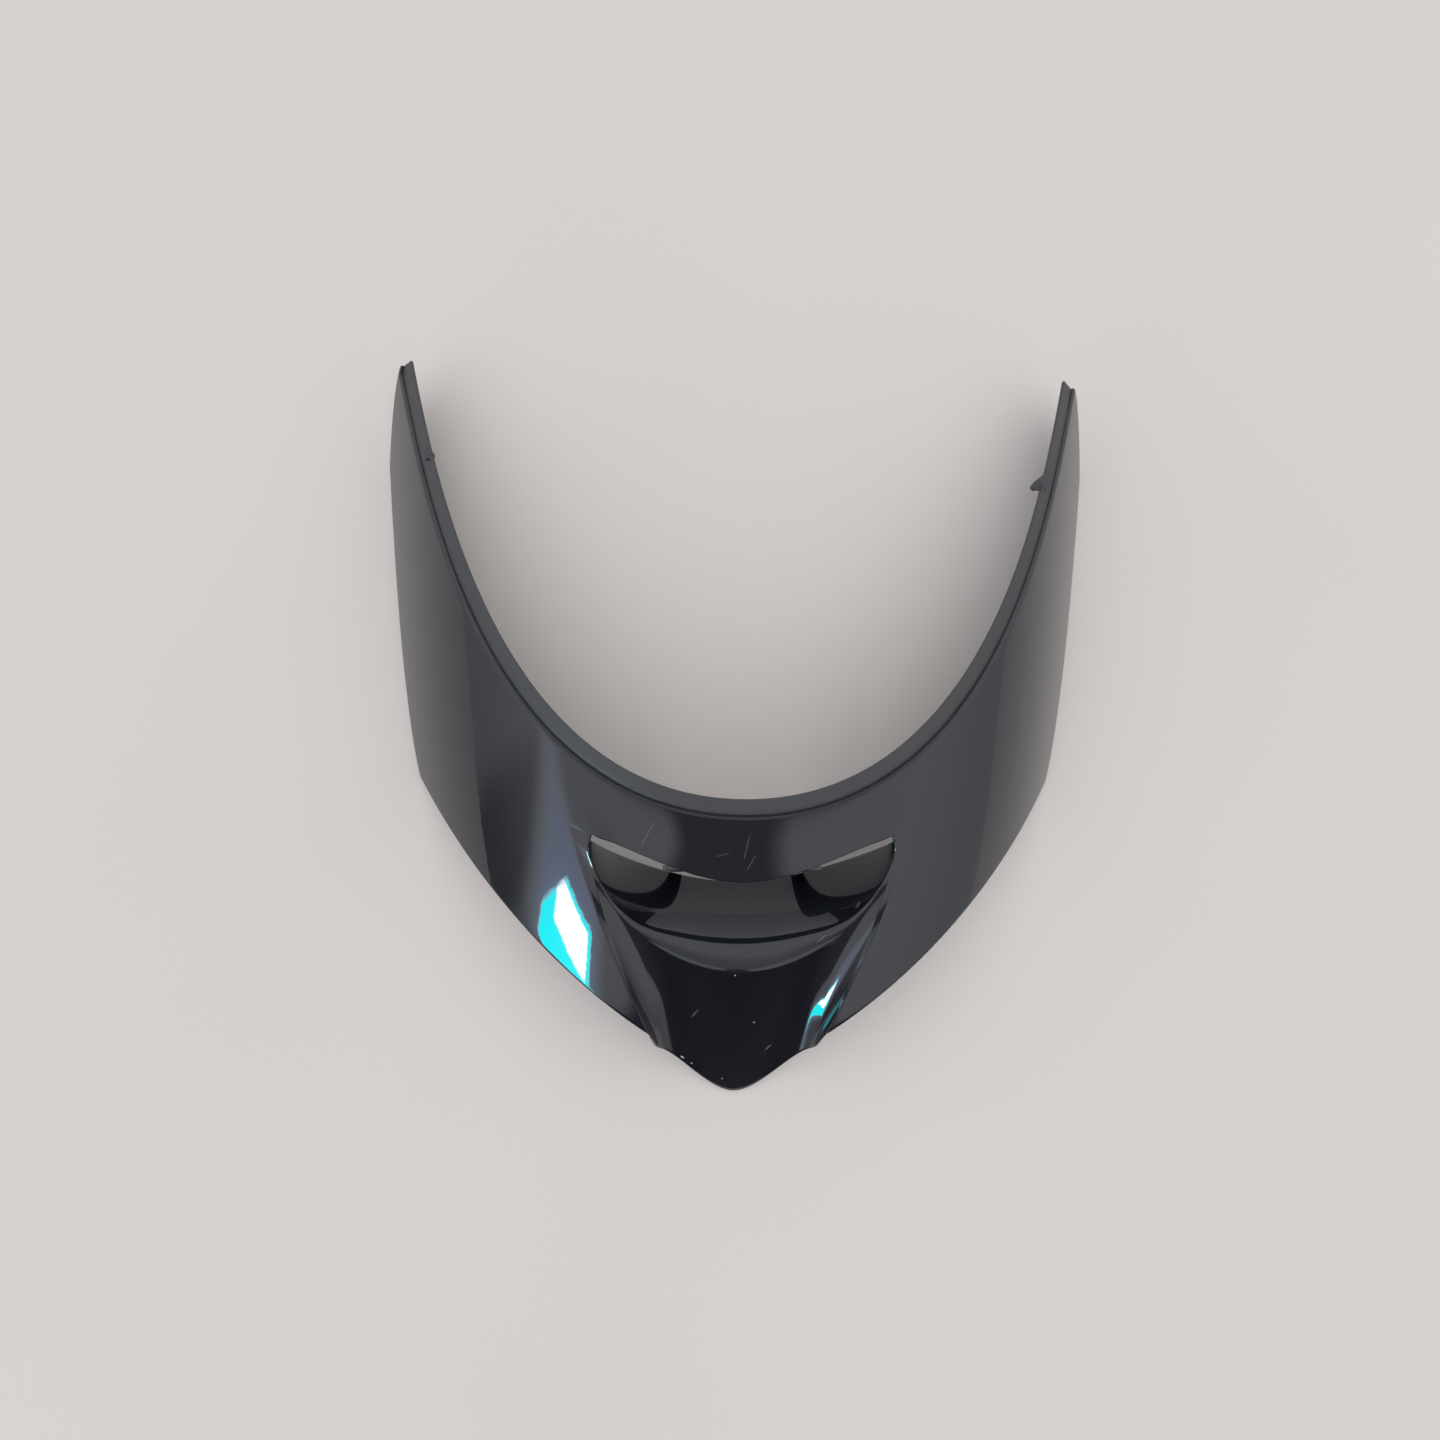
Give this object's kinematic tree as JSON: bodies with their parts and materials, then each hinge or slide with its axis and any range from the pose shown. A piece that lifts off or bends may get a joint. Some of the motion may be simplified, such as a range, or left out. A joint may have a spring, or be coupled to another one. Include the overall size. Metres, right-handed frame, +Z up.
{
  "type": "motorcycle fairing",
  "caption": "Crescent-shaped front cowl of a scooter: glossy painted shell with a beak, a smile-shaped air intake with scoop and struts, and a matt flange along its U-shaped opening.",
  "frame": {"origin": "middle of the outline's box, on the surface the cowl lies on", "axes": "+X to the right arm as seen from above, +Y from the nose towards the arm tips, +Z up away from the hollow side"},
  "size_m": [0.478, 0.483, 0.0969],
  "materials": {
    "pearl_paint": "blue-black pearl paint under clear coat on a moulded plastic shell, with a bare matt flange"
  },
  "bodies": {
    "root": {"fairing": "pearl_paint"}
  },
  "joints": []
}
